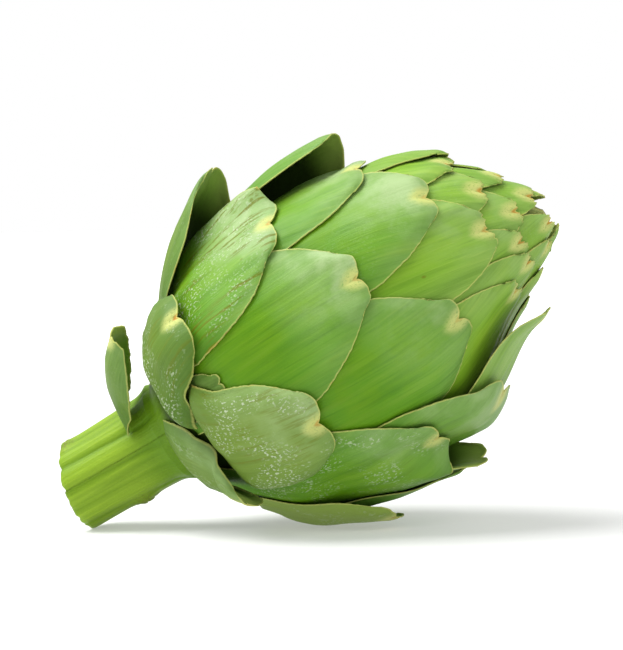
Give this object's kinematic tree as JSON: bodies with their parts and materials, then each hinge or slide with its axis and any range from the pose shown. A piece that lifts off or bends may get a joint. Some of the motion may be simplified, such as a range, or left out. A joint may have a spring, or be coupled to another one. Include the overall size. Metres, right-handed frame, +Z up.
{
  "type": "globe artichoke",
  "caption": "Fresh globe artichoke with overlapping notched bracts closing to a pointed crown, a small loose leaf and a short ribbed cut stem, lying on its stem end and lowest bract.",
  "frame": {"origin": "middle of the bounding box at the height of the floor it lies on", "axes": "+Z up; the bud's axis lies in the XZ plane and rises 28 degrees towards +X, the longest extent; the stem points to -X and -Z; the face shown is towards -Y"},
  "size_m": [0.156, 0.0926, 0.1178],
  "materials": {
    "stem_green": "matte, waxy, fine long fibres",
    "outer_leaf": "matte grey green with a pale bloom",
    "middle_leaf": "satin green with fine pale veins",
    "crown_leaf": "satin yellow green",
    "inner_leaf": "matte yellow green"
  },
  "bodies": {
    "root": {"stem_and_heart": "stem_green", "stem_leaf": "outer_leaf", "inner_bud": "inner_leaf", "bract_low_front": "outer_leaf", "bract_low_back": "outer_leaf", "bract_low_under": "outer_leaf", "bract_collar_front": "outer_leaf", "bract_collar_back": "outer_leaf", "bract_collar_top": "outer_leaf", "bract_foot_front": "outer_leaf", "bract_foot_back": "outer_leaf", "bract_belly_back": "outer_leaf", "bract_belly_front": "outer_leaf", "bract_belly_top": "outer_leaf", "bract_collar_side": "outer_leaf", "bract_belly_rear": "middle_leaf", "bract_belly_side": "middle_leaf", "bract_waist_top": "middle_leaf", "bract_waist_under": "middle_leaf", "bract_waist_rear": "middle_leaf", "bract_waist_front": "middle_leaf", "bract_mid_front": "middle_leaf", "bract_mid_side": "middle_leaf", "bract_mid_under": "middle_leaf", "bract_high_top": "middle_leaf", "bract_mid_rear": "middle_leaf", "bract_high_ridge": "middle_leaf", "bract_high_under": "middle_leaf", "bract_high_side": "middle_leaf", "bract_high_back": "middle_leaf", "bract_high_front": "middle_leaf", "bract_neck_rear": "middle_leaf", "bract_neck_side": "middle_leaf", "bract_neck_back": "middle_leaf", "bract_neck_top": "middle_leaf", "bract_neck_under": "crown_leaf", "bract_neck_far": "crown_leaf", "bract_neck_front": "crown_leaf", "bract_neck_ridge": "crown_leaf", "bract_crown_top": "crown_leaf", "bract_crown_rear": "crown_leaf", "bract_crown_front": "crown_leaf", "bract_crown_side": "crown_leaf", "bract_crown_back": "crown_leaf", "bract_inner_rear": "crown_leaf", "bract_inner_ridge": "crown_leaf", "bract_inner_front": "crown_leaf", "bract_inner_under": "crown_leaf", "bract_inner_side": "crown_leaf", "bract_inner_near": "crown_leaf", "bract_inner_top": "crown_leaf", "bract_tip_front": "crown_leaf", "bract_tip_side": "crown_leaf", "bract_tip_rear": "crown_leaf", "bract_tip_under": "crown_leaf", "bract_tip_ridge": "crown_leaf", "bract_tip_near": "crown_leaf", "bract_tip_back": "crown_leaf", "bract_tip_top": "crown_leaf"}
  },
  "joints": []
}
